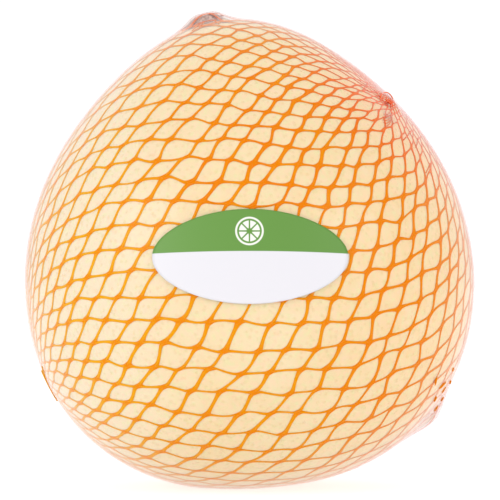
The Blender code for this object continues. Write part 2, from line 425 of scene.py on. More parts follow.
def net_material():
    """Orange plastic, paler at the left from painted light, redder where its strands are gathered."""
    material, tree, shader = new_material("net_plastic")
    place = place_in_mm(tree)
    pinch, tail, stem, corner = (distance_from(tree, place, layer(way[None], NET_LIFT)[0])
                                 for way in (NET_PINCH, NET_TAIL, STEM, CORNER))
    gathered = span(tree, math_node(tree, "MINIMUM", pinch, tail), *GATHERED)
    drawn_up = span(tree, math_node(tree, "MINIMUM", stem, corner), *DRAWN_UP, 0.0, DRAWN_UP_SHARE)
    crossed = add(tree, "ShaderNodeAttribute", attribute_name=KNOT_ATTRIBUTE).outputs["Fac"]
    streaks = span(tree, noise_at(tree, place, STREAK_SIZE), 0.35, 0.65)
    colour = mix(tree, streaks, NET_BRIGHT, NET_DEEP)
    for share, shade in (
            (side_share(tree, place, *NET_LOWER_PART, "Z"), NET_BELOW),
            # Painted shade deepens the right side and painted light pales the left.
            (side_share(tree, place, *NET_SHADED_RIGHT_SIDE), NET_PAINTED_SHADE_RIGHT),
            (side_share(tree, place, *LIT_LEFT_SIDE), NET_PAINTED_LIGHT_LEFT),
            (math_node(tree, "MULTIPLY", crossed, CROSSED_SHARE), NET_CROSSED),
            (span(tree, pinch, *NEAR_PINCH), NET_NEAR_PINCH),
            (math_node(tree, "MAXIMUM", gathered, drawn_up), NET_GATHERED)):
        colour = mix(tree, share, colour, shade)
    tree.links.new(colour, shader.inputs["Base Color"])
    shader.inputs["Roughness"].default_value = 0.45
    shader.inputs["Specular IOR Level"].default_value = 0.04
    return material


# The film: its colours, the size and height of its waves, how late its mirroring grows toward
# the edge, and how much it mirrors face on, at its edge and at the edge of its folds.
FILM_CLEAR = (1.0, 0.995, 0.99, 1.0)
FILM_SHINE = (1.0, 0.92, 0.93, 1.0)
FILM_MILKY = (1.0, 0.74, 0.69, 1.0)
FILM_WAVE_SIZE = 9.0
FILM_WAVE_HEIGHT = 0.25 * MM
FILM_FALLOFF = 5.5
FILM_MIRROR_FACING = 0.004
FILM_MIRROR_EDGE = 0.75
FOLD_MIRROR_EDGE = 0.2


def film_material(name, mirror_edge):
    """Clear film: it mirrors the studio more toward its edges, and is milky where it is folded."""
    material, tree, shader = new_material(name)
    tree.nodes.remove(shader)
    output = tree.nodes["Material Output"]
    waves = noise_at(tree, place_in_mm(tree), FILM_WAVE_SIZE)
    bump = add(tree, "ShaderNodeBump",
               {"Height": waves, "Distance": FILM_WAVE_HEIGHT, "Strength": 0.5})
    clear = add(tree, "ShaderNodeBsdfTransparent", {"Color": FILM_CLEAR})
    gloss = add(tree, "ShaderNodeBsdfGlossy",
                {"Color": FILM_SHINE, "Roughness": 0.16, "Normal": bump.outputs[0]})
    slant = add(tree, "ShaderNodeLayerWeight", {"Blend": 0.5, "Normal": bump.outputs[0]})
    mirror = math_node(tree, "POWER", slant.outputs["Facing"], FILM_FALLOFF)
    mirror = span(tree, mirror, 0.0, 1.0, FILM_MIRROR_FACING, mirror_edge, smooth=False)
    both = add(tree, "ShaderNodeMixShader",
               {0: mirror, 1: clear.outputs[0], 2: gloss.outputs[0]})
    haze = add(tree, "ShaderNodeAttribute", attribute_name=HAZE_ATTRIBUTE).outputs["Fac"]
    milky = add(tree, "ShaderNodeBsdfDiffuse", {"Color": FILM_MILKY})
    hazed = add(tree, "ShaderNodeMixShader", {0: haze, 1: both.outputs[0], 2: milky.outputs[0]})
    tree.links.new(hazed.outputs[0], output.inputs["Surface"])
    return material


# The label's print: its colours, how far each side of its middle the green fades, how sharp its
# edge is in millimetres, and where the arched line and the wheel's middle are.
LABEL_WHITE = (0.705, 0.69, 0.73)
LABEL_GREEN_LEFT = (0.120, 0.280, 0.045)
LABEL_GREEN_RIGHT = (0.098, 0.248, 0.028)
WHEEL_WHITE = (0.79, 0.79, 0.74)
LABEL_FADE = 33.0
PRINT_EDGE = 0.12
LABEL_ARCH = 0.0009
LABEL_SPLIT = 1.5 * MM
WHEEL_RISE = 7.8 * MM

# The citrus wheel: the radius of its flesh and of the rind's two edges, and how sharp the edges
# are, in millimetres. A segment starts where a wave times the radius passes SEGMENT_START.
WHEEL_SEGMENTS = 8
FLESH_RADIUS = 3.3
RIND_INSIDE = 3.9
RIND_OUTSIDE = 4.5
WHEEL_EDGE = 0.1
SEGMENT_START = 0.9
SEGMENT_EDGE = 0.2


def label_material():
    """A printed sticker: green above an arched line and white below it, with a citrus wheel."""
    material, tree, shader = new_material("label_print")
    place = place_in_mm(tree)
    parts = add(tree, "ShaderNodeSeparateXYZ", {"Vector": place})
    across, up = parts.outputs["X"], parts.outputs["Z"]
    middle = float(CENTRE[2] + LABEL_RISE) / MM
    arch = math_node(tree, "MULTIPLY", math_node(tree, "MULTIPLY", across, across), -LABEL_ARCH)
    line = math_node(tree, "ADD", arch, middle + LABEL_SPLIT / MM)
    green_share = span(tree, math_node(tree, "SUBTRACT", up, line), -PRINT_EDGE, PRINT_EDGE)
    fade = span(tree, across, -LABEL_FADE, LABEL_FADE, smooth=False)
    green = mix(tree, fade, LABEL_GREEN_LEFT, LABEL_GREEN_RIGHT)
    colour = mix(tree, green_share, LABEL_WHITE, green)
    wheel = citrus_wheel(tree, across, math_node(tree, "SUBTRACT", up, middle + WHEEL_RISE / MM))
    colour = mix(tree, wheel, colour, WHEEL_WHITE)
    tree.links.new(colour, shader.inputs["Base Color"])
    shader.inputs["Roughness"].default_value = 0.42
    return material


def inside(tree, reach, radius):
    """A share that is 1 within a radius of the wheel's middle and 0 outside it."""
    return span(tree, reach, radius - WHEEL_EDGE, radius + WHEEL_EDGE, 1.0, 0.0)


def citrus_wheel(tree, across, up):
    """The share of white in a slice of citrus: a thin rind, and segments inside it."""
    square = math_node(tree, "ADD", math_node(tree, "MULTIPLY", across, across),
                       math_node(tree, "MULTIPLY", up, up))
    reach = math_node(tree, "SQRT", square)
    turn = math_node(tree, "ARCTAN2", up, across)
    wave = math_node(tree, "SINE", math_node(tree, "MULTIPLY", turn, WHEEL_SEGMENTS / 2))
    arc = math_node(tree, "MULTIPLY", math_node(tree, "ABSOLUTE", wave), reach)
    segment = span(tree, arc, SEGMENT_START - SEGMENT_EDGE, SEGMENT_START + SEGMENT_EDGE)
    segment = math_node(tree, "MULTIPLY", segment, inside(tree, reach, FLESH_RADIUS))
    past_inside = math_node(tree, "SUBTRACT", 1.0, inside(tree, reach, RIND_INSIDE))
    rind = math_node(tree, "MULTIPLY", past_inside, inside(tree, reach, RIND_OUTSIDE))
    return math_node(tree, "MAXIMUM", segment, rind)


# The fruit.

# The stub of the stem. Each of its lobes has a size, a count and a phase, and the scar on its
# top has a depth and a width as shares of the stub's height and radius.
STUB_RADIUS = 5.8 * MM
STUB_HEIGHT = 3.4 * MM
STUB_STEEPNESS = 5
STUB_LOBES = ((0.07, 5, 0.0), (0.04, 11, 1.0))
SCAR_DEPTH = 0.22
SCAR_WIDTH = 0.35
CORNER_SHARE = 0.85

# The rings of the fruit's mesh: the first and last angle from the stem in degrees, and how many.
FRUIT_COLUMNS = 300
STUB_RINGS = (0.15, 7.0, 46)
PEEL_RINGS = (8.0, 179.4, 190)


def stub_rise(ways, azimuth):
    """The stub of the stem: a short plug with rounded, slightly lobed sides and a scarred top."""
    reach = skin_radius(ways) * np.radians(degrees_from(ways, STEM))
    lobes = 1.0 + sum(size * np.sin(count * azimuth + phase) for size, count, phase in STUB_LOBES)
    share = reach / (STUB_RADIUS * lobes)
    plug = 1.0 / (1.0 + share ** STUB_STEEPNESS)
    return STUB_HEIGHT * plug * (1.0 - SCAR_DEPTH * bell(share, SCAR_WIDTH))


def make_fruit():
    """The fruit and its stub in one mesh, with finer rings toward the stem."""
    polar = np.radians(np.concatenate((np.linspace(*STUB_RINGS), np.linspace(*PEEL_RINGS))))
    ways, _, azimuth = rings_round(STEM, polar, FRUIT_COLUMNS)
    rise = stub_rise(ways, azimuth.reshape(-1)) + CORNER_SHARE * corner_rise(ways)
    points = layer(ways, PEEL_LIFT, peel_lumps(ways) + rise)
    top = layer(STEM[None], PEEL_LIFT, stub_rise(STEM[None], np.zeros(1)))
    bottom = layer(-STEM[None], PEEL_LIFT)
    count = len(points)
    last = count - FRUIT_COLUMNS
    faces = grid_faces(len(polar), FRUIT_COLUMNS)
    for column in range(FRUIT_COLUMNS):
        after = (column + 1) % FRUIT_COLUMNS
        faces.append((count, column, after))
        faces.append((count + 1, last + after, last + column))
    fruit = make_object("pomelo_fruit", np.concatenate((points, top, bottom)), faces,
                        peel_material())
    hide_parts("pomelo")


# The net.

# The mesh attribute that is 1 where strands cross and 0 halfway between crossings.
KNOT_ATTRIBUTE = "knot"

# The cells round the net and its rows of crossings. The rows run round an axis through the tail,
# whose far end bends over to the mouth, the later the larger WARP is. The first and last rows lie
# NET_END degrees from its ends, STRETCH and SKEW crowd the rows between them, the SHIFTs, in
# cells, turn each row against the one before, and START turns the first one.
NET_AROUND = 52
NET_ROWS = 36
NET_END = 3.6
NET_STRETCH = -0.109
NET_SKEW = -0.083
NET_SHIFT_AT_MOUTH = 0.093
NET_SHIFT_AT_TAIL = 0.674
NET_SHIFT_WAVE = -0.031
NET_START = 0.545
NET_WARP = 2.09
CROSSING_JITTER = 0.0085

# The points of a strand from one crossing to the next, as shares of its length, and how much
# each belongs to the crossing.
EDGE_PLACES = (0.0, 0.10, 0.24, 0.5, 0.76, 0.90, 1.0)
EDGE_KNOTS = (1.0, 0.55, 0.1, 0.0, 0.1, 0.55)

# How far a strand bends beside its crossings, where, how much that varies, and how much it bows,
# all as shares of its length.
BEND_REACH = 0.026
BEND_PLACE = 0.14
BEND_VARIETY = 0.6
BOW = 0.03

# The widths of the two families of strands and how much they vary, and how slim the strands are
# at the net's ends, from how many degrees away, and at the pinch.
THICK_STRAND = 1.18 * MM
THIN_STRAND = 0.86 * MM
WIDTH_VARIETY = 0.16
SLIMMEST_SHARE = 0.30
SLIM_REACH = 48.0
PINCH_SLIMNESS = 0.45

# A strand's width halfway and what is added to it at the crossings, as shares of its width, the
# largest share of a cell that it may take, and how much the holes' corners are rounded.
STRAND_WAIST = 0.80
STRAND_FLARE = 0.55
LARGEST_INSET = 0.6
BLUNT_ROUNDING = 0.62
SHARP_ROUNDING = 0.25

# The section of a strand: its half height, where its shoulder is between ridge and hole, the
# levels of shoulder and hole in half heights, and the angle in degrees that stays a sharp edge.
STRAND_HALF_HEIGHT = 0.09 * MM
SHOULDER_PLACE = 0.6
SHOULDER_LEVEL = 0.6
HOLE_LEVEL = -0.9
STRAND_EDGE_ANGLE = 60.0


def net_crossings(random):
    """The directions of the net's crossings, by row from the mouth to the tail."""
    share = np.arange(NET_ROWS) / (NET_ROWS - 1)
    slope = NET_SHIFT_AT_MOUTH + (NET_SHIFT_AT_TAIL - NET_SHIFT_AT_MOUTH) * share
    slope += NET_SHIFT_WAVE * np.sin(2 * np.pi * share)
    shift = np.concatenate(([0.0], np.cumsum(0.5 * (slope[1:] + slope[:-1]))))
    end = math.radians(NET_END)
    eased = share + NET_STRETCH * np.sin(2 * np.pi * share) / (2 * np.pi)
    eased += NET_SKEW * np.sin(np.pi * share) ** 2
    polar = end + (np.pi - 2 * end) * eased
    azimuth = 2 * np.pi * (np.arange(NET_AROUND) + shift[:, None] + NET_START) / NET_AROUND
    axis = -NET_TAIL
    ways = ways_round(axis, np.broadcast_to(polar[:, None], azimuth.shape), azimuth)
    bend = np.maximum(0.0, np.cos(polar)) ** NET_WARP
    ways = pinched(unit(ways + bend[:, None, None] * (NET_MOUTH - axis)))
    room = np.sin(np.linspace(0.0, np.pi, NET_ROWS))[:, None, None]
    return unit(ways + CROSSING_JITTER * room * wobble(random, ways.shape))


def curved_edges(start, stop, side, random):
    """Strands from each start to each stop, bent at both ends toward the other family."""
    chord = stop - start
    length = np.linalg.norm(chord, axis=-1, keepdims=True)
    across = unit(np.cross(start, chord))
    reach = BEND_REACH * side * (1.0 + BEND_VARIETY * wobble(random, length.shape))
    bow = BOW * wobble(random, length.shape)
    points = []
    for place in EDGE_PLACES:
        bend = [share / BEND_PLACE * math.exp(1.0 - share / BEND_PLACE) for share in (place, 1.0 - place)]
        inner = 0.0 < place < 1.0
        sideways = inner * (reach * (bend[0] - bend[1]) + bow * math.sin(math.pi * place))
        points.append(unit(start + chord * place + across * length * sideways))
    return np.stack(points, axis=2)


class NetIndex:
    """Which ridge point is which: the crossings first, then the points inside the edges."""

    inner = len(EDGE_PLACES) - 2

    @staticmethod
    def crossing(row, column):
        """The point at a crossing."""
        return row * NET_AROUND + column % NET_AROUND

    @classmethod
    def edge(cls, family, row, column):
        """The points inside the edge that starts at a crossing, in family 0 or 1."""
        first = NET_ROWS * NET_AROUND + family * (NET_ROWS - 1) * NET_AROUND * cls.inner
        first += (row * NET_AROUND + column % NET_AROUND) * cls.inner
        return list(range(first, first + cls.inner))

    @classmethod
    def ring(cls, row, column):
        """The outline of a cell, from its crossing nearest the mouth."""
        right = [cls.crossing(row, column)] + cls.edge(0, row, column)
        right += [cls.crossing(row + 1, column)] + cls.edge(1, row + 1, column)
        left = cls.edge(1, row, column) + [cls.crossing(row + 1, column - 1)]
        left += cls.edge(0, row + 1, column - 1)
        return right + [cls.crossing(row + 2, column - 1)] + left[::-1]


def strand_share(ways):
    """How wide the strands are, as a share of their full width: slim where they are gathered."""
    near = np.minimum(degrees_from(ways, NET_MOUTH), degrees_from(ways, NET_TAIL))
    share = SLIMMEST_SHARE + (1.0 - SLIMMEST_SHARE) * np.clip(near / SLIM_REACH, 0.0, 1.0)
    return share * (1.0 - PINCH_SLIMNESS * bell(degrees_from(ways, NET_PINCH), PINCH_SPREAD))


def hole_outlines(outline, random):
    """Each cell's hole: its outline drawn in by half of each family's strand, less at mid-edge."""
    edge = len(EDGE_PLACES) - 1
    middle = outline.mean(axis=1, keepdims=True)
    first = 0.5 * (outline[:, edge] - outline[:, 0] + outline[:, 2 * edge] - outline[:, 3 * edge])
    second = 0.5 * (outline[:, 3 * edge] - outline[:, 0] + outline[:, 2 * edge] - outline[:, edge])
    area = np.linalg.norm(np.cross(first, second), axis=-1)
    way = unit(middle[:, 0])
    scale = strand_share(way) / skin_radius(way)
    spokes = outline - middle
    normal = unit(np.cross(first, second))[:, None]
    along_first = (np.cross(spokes, second[:, None]) * normal).sum(-1) / area[:, None]
    along_second = -(np.cross(spokes, first[:, None]) * normal).sum(-1) / area[:, None]
    hole = outline.copy()
    for share, other_share, side, other, width in (
            (along_first, along_second, first, second, THIN_STRAND),
            (along_second, along_first, second, first, THICK_STRAND)):
        room = area / np.linalg.norm(other, axis=-1)
        varied = width * scale * (1.0 + WIDTH_VARIETY * wobble(random, room.shape))
        taper = STRAND_WAIST + STRAND_FLARE * np.abs(2.0 * other_share) ** 3
        inset = np.minimum((varied / room)[:, None] * taper, LARGEST_INSET)
        hole -= (share * inset)[..., None] * side[:, None]
    return rounded_corners(hole)


def rounded_corners(hole):
    """The holes with their two blunt corners rounded off and their two sharp ones kept."""
    edge = len(EDGE_PLACES) - 1
    for corner, share in ((edge, BLUNT_ROUNDING), (3 * edge, BLUNT_ROUNDING),
                          (0, SHARP_ROUNDING), (2 * edge, SHARP_ROUNDING)):
        before, after = (corner - 1) % (4 * edge), (corner + 1) % (4 * edge)
        chord = 0.5 * (hole[:, before] + hole[:, after])
        hole[:, corner] += share * (chord - hole[:, corner])
    return hole


def net_walls(rows, low_start):
    """The faces that close a half of the net along its first and last strands."""
    walls = []
    for row, at_start in ((rows.start, True), (rows.stop, False)):
        for column in range(NET_AROUND):
            for family, stop in ((0, column), (1, column - 1)):
                line = [NetIndex.crossing(row, column)] + NetIndex.edge(family, row, column)
                line.append(NetIndex.crossing(row + 1, stop))
                for a, b in zip(line, line[1:]):
                    wall = (a, b, b + low_start, a + low_start)
                    walls.append(wall if (family == 0) == at_start else wall[::-1])
    return walls


def net_bands(here, shoulder_start, low_start):
    """The faces round each hole: from the ridge to the shoulder, the hole and the underside."""
    there = np.roll(here, -1, axis=1)
    spot = np.arange(here.size).reshape(here.shape) + shoulder_start
    next_spot = np.roll(spot, -1, axis=1)
    hole, next_hole = spot + here.size, next_spot + here.size
    bands = ((spot, next_spot, there, here), (hole, next_hole, next_spot, spot),
             (here + low_start, there + low_start, next_hole, hole))
    return np.concatenate([np.stack(band, axis=-1).reshape(-1, 4) for band in bands])


def make_net_half(name, rows, ridge, material, random):
    """The net between two of its rows, a closed piece."""
    here = np.array([NetIndex.ring(row, column) for row in rows for column in range(NET_AROUND)])
    outline = ridge[here]
    hole = hole_outlines(outline, random)
    shoulder = (1.0 - SHOULDER_PLACE) * outline + SHOULDER_PLACE * hole
    levels = ((ridge, 1.0), (ridge, -1.0), (unit(shoulder.reshape(-1, 3)), SHOULDER_LEVEL),
              (unit(hole.reshape(-1, 3)), HOLE_LEVEL))
    points = np.concatenate([layer(line, NET_LIFT + level * STRAND_HALF_HEIGHT,
                                   peel_lumps(line) + wrap_rise(line)) for line, level in levels])
    ridge_knots = np.concatenate((np.ones(NET_ROWS * NET_AROUND),
                                  np.tile(EDGE_KNOTS[1:], 2 * (NET_ROWS - 1) * NET_AROUND)))
    ring_knots = np.tile(EDGE_KNOTS, 4 * len(here))
    knots = np.concatenate((ridge_knots, ridge_knots, ring_knots, ring_knots))
    faces = np.concatenate((net_bands(here, 2 * len(ridge), len(ridge)),
                            np.array(net_walls(rows, len(ridge)))))
    used, corners = np.unique(faces, return_inverse=True)
    half = make_object(name, points[used], corners.reshape(faces.shape).tolist(), material)
    half.data.attributes.new(KNOT_ATTRIBUTE, "FLOAT", "POINT").data.foreach_set("value", knots[used])
    half.data.set_sharp_from_angle(angle=math.radians(STRAND_EDGE_ANGLE))
    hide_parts("net")


def make_net(material):
    """The net: cells between wavy strands that widen where they cross, in two halves."""
    random = np.random.default_rng(SEED)
    ways = net_crossings(random)
    onward = curved_edges(ways[:-1], ways[1:], -1.0, random)
    slanted = curved_edges(ways[:-1], np.roll(ways[1:], 1, axis=1), 1.0, random)
    ridge = np.concatenate((ways.reshape(-1, 3), onward[:, :, 1:-1].reshape(-1, 3),
                            slanted[:, :, 1:-1].reshape(-1, 3)))
    middle = NET_ROWS // 2
    make_net_half("net_strands_mouth_half", range(middle), ridge, material, random)
    make_net_half("net_strands_tail_half", range(middle, NET_ROWS - 2), ridge, material, random)


# The net's loose parts: its knot, its gathered ends, and the strands at the stub, the tail and
# the corner.

KNOT_WIDTH = 0.36 * MM
LOOP_STRAND_WIDTH = 1.4 * KNOT_WIDTH
DRAWN_STRAND_WIDTH = 1.3 * KNOT_WIDTH
TORN_BIT_WIDTH = 1.7 * KNOT_WIDTH
RIB_WIDTH = 0.7 * KNOT_WIDTH
PATH_POINTS = 16
LOOP_PATH_POINTS = 30
STRAND_SIDES = 6
STRAND_FLATNESS = 0.75

# The tangles: how many loops each has, their points, their reach, and the limits of a loop's
# radius, turns and width, as shares. LOOP_OFFSET spreads the loops' middles.
TANGLE_LOOPS = 9
LOOP_POINTS = 22
TANGLE_REACH = 1.7 * MM
LOOP_RADIUS = (0.45, 0.90)
LOOP_TURNS = (0.7, 1.1)
LOOP_WIDTH = (0.8, 1.3)
LOOP_OFFSET = 0.25

# The bundles at the net's two ends: their strands run from just outside the first row to
# END_STOP degrees from the middle, where they rise to END_LIFT.
END_STRANDS = 30
END_POINTS = 8
END_START = 1.1 * NET_END
END_STOP = 0.5
END_JITTER = 0.3
END_LIFT = 0.3 * MM
END_TANGLE_HEIGHT = 0.15 * MM

# How tall the knot's tangle is, and how far the loose parts lie above the net. OVER_FILM_LIFT
# brings a strand onto the film.
TANGLE_HEIGHT = 0.85 * MM
TANGLE_LIFT = 1.0 * MM
LOOP_LIFT = 0.9 * MM
LOOSE_END_LIFT = 0.1 * MM
RIB_LIFT = 0.3 * MM
STUB_STRAND_LIFT = 0.15 * MM
OVER_FILM_LIFT = 0.65 * MM

# Places that the photograph shows, right of and above the fruit's centre, in millimetres.
KNOT_MIDDLE = (47.0, 53.0)
KNOT_LOOP = ((44.0, 54.6), (44.3, 55.9), (45.6, 56.5), (46.9, 56.2), (47.9, 54.9), (48.2, 53.2))
LOOSE_ENDS = (
    ((46.6, 53.0), (44.6, 55.2), (43.2, 57.1), (42.4, 57.9)),
    ((38.6, 57.9), (39.6, 59.0), (40.2, 60.0)),
    ((40.0, 58.0), (40.6, 57.4), (41.3, 57.2)),
    ((52.2, 41.2), (53.6, 42.6), (54.8, 44.2)),
    ((56.4, 38.6), (57.0, 40.4), (57.2, 41.9)),
    ((59.8, 30.2), (60.6, 31.8), (61.2, 33.4)))
TAIL_STRANDS = (
    ((-68.9, -36.0), (-67.4, -40.4), (-65.1, -45.2)),
    ((-68.1, -37.8), (-66.2, -42.3), (-64.0, -46.6)),
    ((-68.5, -34.6), (-67.5, -38.4), (-66.3, -41.8)))
STUB_STRANDS = (
    ((-18.7, 78.0), (-16.0, 80.4), (-13.3, 82.2)),
    ((-16.3, 79.7), (-14.9, 81.4), (-13.7, 82.4)),
    ((-9.6, 80.8), (-11.4, 82.2), (-14.3, 82.9)),
    ((-15.0, 81.4), (-12.7, 81.8), (-10.3, 81.4)),
    ((-19.4, 80.9), (-17.2, 82.3), (-14.6, 83.1)))
TORN_BITS = (
    ((62.4, -40.8), (63.0, -38.1)), ((63.8, -42.0), (66.0, -39.8)),
    ((64.7, -43.4), (66.0, -41.4)), ((67.3, -40.4), (67.7, -39.3)),
    ((68.3, -36.2), (68.5, -35.0)), ((62.4, -49.8), (63.5, -47.7)),
    ((65.0, -46.6), (65.7, -45.1)), ((62.2, -46.3), (62.9, -44.6)))

# The ribs that hang below the knot, in millimetres: the middle of the first, how far down the
# last one is, half their width, how it narrows away from the widest one, their tilt and sag.
RIBS = 5
RIB_ACROSS = 46.9
RIB_TOP = 50.6
RIB_DROP = 3.8
RIB_HALF_WIDTH = 1.9
RIB_NARROWING = 1.3
RIB_WIDEST = 0.4
RIB_TILT = 0.8
RIB_SAG = 1.0

# The search for a seen place: how directly its first try faces the viewer, its rounds, and how
# far out a place may lie, as a share of the radius.
FIRST_TRY = 0.999
SEARCH_ROUNDS = 8
FARTHEST_OUT = 0.995

# How a loose end swells to a knob at its last points, and how a torn bit tapers.
KNOB = (1.5, 1.9, 1.2)
TORN_TAPER = np.array((0.5, 0.9, 1.0, 1.1, 1.1, 1.0, 0.9, 0.5))


def tube(path, widths):
    """The points and faces of a strand of elliptical section along a path of points."""
    forward = unit(np.gradient(path, axis=0))
    outward = unit(path - CENTRE)
    side = unit(np.cross(forward, outward))[:, None]
    lift = STRAND_FLATNESS * np.cross(side, forward[:, None])
    turn = (2 * np.pi * np.arange(STRAND_SIDES) / STRAND_SIDES)[None, :, None]
    ring = np.cos(turn) * side + np.sin(turn) * lift
    points = (path[:, None] + ring * widths[:, None, None] / 2).reshape(-1, 3)
    faces = grid_faces(len(path), STRAND_SIDES)
    last = len(points) - STRAND_SIDES
    faces += [tuple(range(STRAND_SIDES)), tuple(range(last + STRAND_SIDES - 1, last - 1, -1))]
    return points, faces


def make_strands(name, strands, material):
    """One piece from several loose strands, each given as a path and its widths."""
    points, faces, count = [], [], 0
    for path, widths in strands:
        more_points, more_faces = tube(path, widths)
        points.append(more_points)
        faces += [tuple(index + count for index in face) for face in more_faces]
        count += len(more_points)
    piece = make_object(name, np.concatenate(points), faces, material)
    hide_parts("net")


def seen_at(place):
    """The direction of the front point of the net that shows at a place."""
    right, up = place[0] * MM, place[1] * MM
    bearing = math.degrees(math.atan2(right, up))
    way = direction(0.0, FIRST_TRY)
    for _ in range(SEARCH_ROUNDS):
        reach = float(skin_radius(way[None])[0] + wrap_rise(way[None])[0]) + NET_LIFT
        nearer = 1.0 + reach * way[1] / CAMERA_DISTANCE
        across = min(math.hypot(right, up) * nearer / reach, FARTHEST_OUT)
        way = direction(bearing, math.sqrt(1.0 - across ** 2))
    return way


def seen_path(places, lift, count=PATH_POINTS):
    """A smooth run of points above the net, through a few places that the photograph shows."""
    ways = np.array([seen_at(place) for place in places])
    knots = np.arange(len(ways))
    steps = np.linspace(0, len(ways) - 1, count)
    fine = np.stack([np.interp(steps, knots, ways[:, axis]) for axis in range(3)], axis=-1)
    for _ in range(count // len(ways)):
        fine[1:-1] = 0.25 * fine[:-2] + 0.5 * fine[1:-1] + 0.25 * fine[2:]
    fine = unit(fine)
    return layer(fine, NET_LIFT, lift + wrap_rise(fine))


def seen_strand(places, lift, width, count=PATH_POINTS):
    """A strand of even width through a few seen places."""
    return seen_path(places, lift, count), np.full(count, width)


def loose_end(places):
    """A strand through a few seen places, ending in a small knob."""
    path, widths = seen_strand(places, LOOSE_END_LIFT, KNOT_WIDTH)
    widths[-len(KNOB):] *= KNOB
    return path, widths


def torn_bit(places):
    """A short piece of strand that tapers at both ends, on the film."""
    path, widths = seen_strand(places, OVER_FILM_LIFT, TORN_BIT_WIDTH, len(TORN_TAPER))
    return path, widths * TORN_TAPER


def rib(share):
    """One of the ribs below the knot, from the first at share 0 to the last at share 1."""
    height = RIB_TOP - RIB_DROP * share
    half = RIB_HALF_WIDTH - RIB_NARROWING * abs(share - RIB_WIDEST)
    places = [(RIB_ACROSS + half * x, height + RIB_TILT * x - RIB_SAG * (1 - x * x))
              for x in (-1, -0.4, 0.4, 1)]
    return seen_strand(places, RIB_LIFT, RIB_WIDTH)


def tangle(middle, lift, height, random):
    """Loops of net strand knotted up into a lump round a point above the net."""
    heart = layer(middle[None], NET_LIFT, lift)[0]
    first, second = side_axes(middle)
    half_axes = np.stack((first * TANGLE_REACH, second * TANGLE_REACH, middle * height))
    strands = []
    for _ in range(TANGLE_LOOPS):
        plane = unit(random.normal(size=(2, 3))) * between(random, *LOOP_RADIUS, 2)[:, None]
        start = 2 * np.pi * random.random()
        turn = start + np.linspace(0.0, 2 * np.pi * between(random, *LOOP_TURNS), LOOP_POINTS)
        loop = np.cos(turn)[:, None] * plane[0] + np.sin(turn)[:, None] * plane[1]
        loop += LOOP_OFFSET * wobble(random, 3, 1.5)
        widths = np.full(LOOP_POINTS, KNOT_WIDTH * between(random, *LOOP_WIDTH))
        strands.append((heart + loop @ half_axes, widths))
    return strands


def make_knot(material):
    """The knot that pinches the net near the upper right, with its loop and its cut ends."""
    random = np.random.default_rng(SEED + 1)
    strands = tangle(seen_at(KNOT_MIDDLE), TANGLE_LIFT, TANGLE_HEIGHT, random)
    strands.append(seen_strand(KNOT_LOOP, LOOP_LIFT, LOOP_STRAND_WIDTH, LOOP_PATH_POINTS))
    strands += [loose_end(places) for places in LOOSE_ENDS]
    strands += [rib(share) for share in np.linspace(0.0, 1.0, RIBS)]
    make_strands("net_knot", strands, material)


def gathered_end(middle, random):
    """The strands of one end of the net, drawn together to a small tangle."""
    strands = tangle(middle, END_LIFT, END_TANGLE_HEIGHT, random)
    polar = np.radians(np.linspace(END_START, END_STOP, END_POINTS))
    heights = np.linspace(0.0, END_LIFT, END_POINTS)
    turns = np.arange(END_STRANDS) + END_JITTER * random.random(END_STRANDS)
    for turn in 2 * np.pi * turns / END_STRANDS:
        ways = ways_round(middle, polar, np.full(END_POINTS, turn))
        strands.append((layer(ways, NET_LIFT, heights), np.full(END_POINTS, KNOT_WIDTH)))
    return strands


def make_ends(material):
    """The bundles that gather the net's two ends: its mouth behind, and its tail at the left."""
    random = np.random.default_rng(SEED + 2)
    make_strands("net_mouth", gathered_end(pinched(NET_MOUTH), random), material)
    strands = gathered_end(NET_TAIL, random)
    strands += [seen_strand(places, OVER_FILM_LIFT, DRAWN_STRAND_WIDTH) for places in TAIL_STRANDS]
    make_strands("net_tail", strands, material)


def make_stub_strands(material):
    """The strands that bunch up where the net is stretched over the stub of the stem."""
    strands = [seen_strand(places, STUB_STRAND_LIFT, DRAWN_STRAND_WIDTH) for places in STUB_STRANDS]
    make_strands("net_over_stub", strands, material)


def make_torn_bits(material):
    """Short torn pieces of strand, stuck to the film at the corner."""
    make_strands("net_torn_bits", [torn_bit(places) for places in TORN_BITS], material)


# The film.

# The mesh's rings run from the vent's edge to just short of the far side, in degrees.
FILM_COLUMNS = 280
FILM_ROWS = 150
VENT_ANGLE = 2.3
FILM_LAST_RING = 179.6


def make_film(material):
    """The shrink film: a thin shell over the net, open at a small vent in the back."""
    polar = np.radians(np.linspace(VENT_ANGLE, FILM_LAST_RING, FILM_ROWS))
    ways, _, _ = rings_round(VENT, polar, FILM_COLUMNS)
    points = layer(ways, FILM_LIFT, film_rise(ways))
    far = layer(-VENT[None], FILM_LIFT)
    faces = grid_faces(FILM_ROWS, FILM_COLUMNS)
    last = len(points) - FILM_COLUMNS
    faces += [(len(points), last + (column + 1) % FILM_COLUMNS, last + column)
              for column in range(FILM_COLUMNS)]
    film = make_object("film_wrap", np.concatenate((points, far)), faces, material)
    thicken_film(film)


def thicken_film(film):
    """Give a sheet of film its thickness, inward."""
    shell = film.modifiers.new("Shell", "SOLIDIFY")
    shell.thickness = FILM_THICKNESS
    shell.offset = -1.0
    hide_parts("film")


# The film's gathers: fine folds that run out from where it is drawn together.

# The mesh attribute that says how milky the film is.
HAZE_ATTRIBUTE = "haze"

# A gather's height above the film, its mesh, and its first ring as a share of its reach.
GATHER_GAP = 0.08 * MM
GATHER_RINGS = 34
GATHER_COLUMNS = 220
GATHER_HEART = 0.04

# How far the folds turn on their way out, in radians, how sharp they are, and how many times
# round a gather they are strong.
FOLD_SWIRL = 2.5
FOLD_SHARPNESS = 3
STRONG_STRETCHES = 5

# The place of the folds below the knot, right of and above the centre, in millimetres.
KNOT_FOLDS = (47.4, 48.8)

